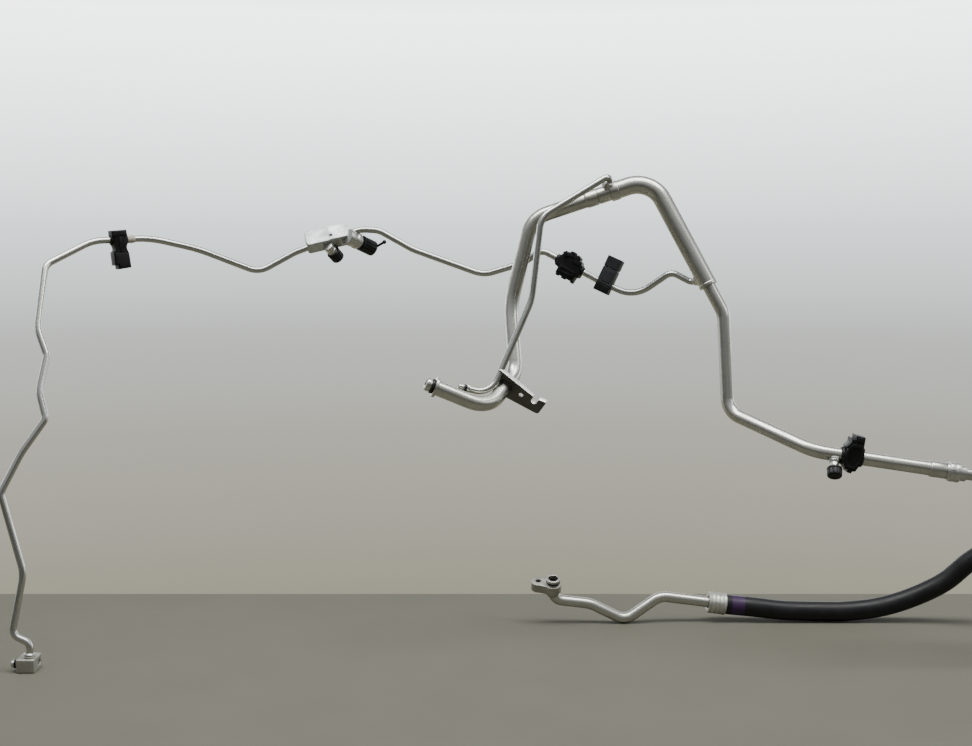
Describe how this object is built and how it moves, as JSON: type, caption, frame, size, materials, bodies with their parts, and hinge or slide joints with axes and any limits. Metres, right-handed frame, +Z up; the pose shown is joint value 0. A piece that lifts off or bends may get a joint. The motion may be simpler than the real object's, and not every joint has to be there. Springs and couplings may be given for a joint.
{
  "type": "air conditioning hose assembly",
  "caption": "Vehicle air conditioning line: black rubber suction hose crimped to bent aluminium pipes, with a coaxial heat exchanger, a thin liquid line, service ports and block fittings.",
  "frame": {"origin": "on the floor, under the middle of the box round every piece except the hose", "axes": "+Z up, +X from the condenser fitting towards the hose, -Y towards the side seen in the picture"},
  "size_m": [1.2362, 0.3062, 0.5601],
  "materials": {
    "aluminium_tube": "satin drawn tube, slightly cloudy, with small scuffs",
    "machined_aluminium": "machined, dull satin",
    "crimped_aluminium": "matte pale, with rolled crimp grooves",
    "dark_plate": "dark matte plate with bright worn edges",
    "hose_rubber": "smooth black cover with a soft sheen",
    "seal_rubber": "smooth black",
    "black_plastic": "moulded black",
    "grey_plastic": "moulded charcoal grey",
    "beige_tape": "dull wrapped tape"
  },
  "bodies": {
    "root": {"liquid_tube_left": "aluminium_tube", "liquid_tube_middle": "aluminium_tube", "liquid_tube_branch": "aluminium_tube", "suction_tube_upper": "aluminium_tube", "suction_tube_lower": "aluminium_tube", "heat_exchanger_jacket": "aluminium_tube", "hose_stem_upper": "aluminium_tube", "compressor_tube": "aluminium_tube", "compressor_block": "machined_aluminium", "condenser_block": "machined_aluminium", "valve_block": "machined_aluminium", "joint_collar": "machined_aluminium", "service_port_small": "machined_aluminium", "service_port_large": "machined_aluminium", "suction_service_port": "machined_aluminium", "ferrule_lower": "crimped_aluminium", "ferrule_upper": "crimped_aluminium", "evaporator_bracket": "dark_plate", "suction_hose": "hose_rubber", "o_ring_condenser": "seal_rubber", "o_ring_compressor": "seal_rubber", "o_ring_evaporator_liquid": "seal_rubber", "o_ring_evaporator_suction": "seal_rubber", "clip_left": "black_plastic", "clip_middle": "black_plastic", "clip_right": "black_plastic", "cap_small": "black_plastic", "cap_large": "black_plastic", "cap_suction": "black_plastic", "clip_block": "grey_plastic", "tape_band": "beige_tape"}
  },
  "joints": []
}
